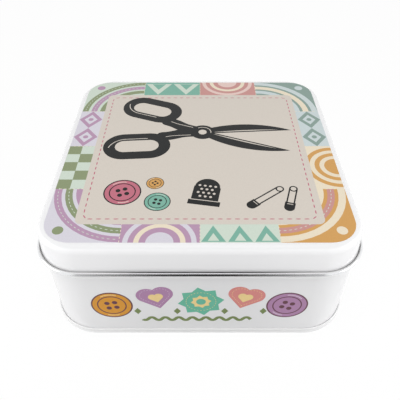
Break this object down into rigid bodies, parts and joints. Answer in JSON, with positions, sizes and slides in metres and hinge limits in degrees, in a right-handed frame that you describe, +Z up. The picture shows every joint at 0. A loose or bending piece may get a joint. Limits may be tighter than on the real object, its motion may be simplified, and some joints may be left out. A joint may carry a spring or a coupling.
{
  "type": "sewing tin",
  "caption": "Square tin box with rounded corners and a lift-off slip lid, for keeping sewing things.",
  "frame": {"origin": "middle of the tin, on the surface it stands on", "axes": "+Z up along the way the lid lifts, -Y towards the printed front wall"},
  "size_m": [0.16, 0.16, 0.0649],
  "materials": {
    "white_coated_tinplate": "gloss white coating on tinplate, bare tinplate inside and on the rolled edges",
    "white_coated_base": "satin white coating on tinplate",
    "bare_tinplate": "bright bare tinplate",
    "printed_ink": "printed inks under a clear coat"
  },
  "bodies": {
    "tin_body": {"body_wall": "white_coated_tinplate", "base": "white_coated_base"},
    "lid": {"lid": "white_coated_tinplate"}
  },
  "joints": [
    {"name": "lid_lift", "type": "slide", "parent": "tin_body", "child": "lid", "axis": [0, 0, 1], "range_m": [0, 0.06]}
  ]
}
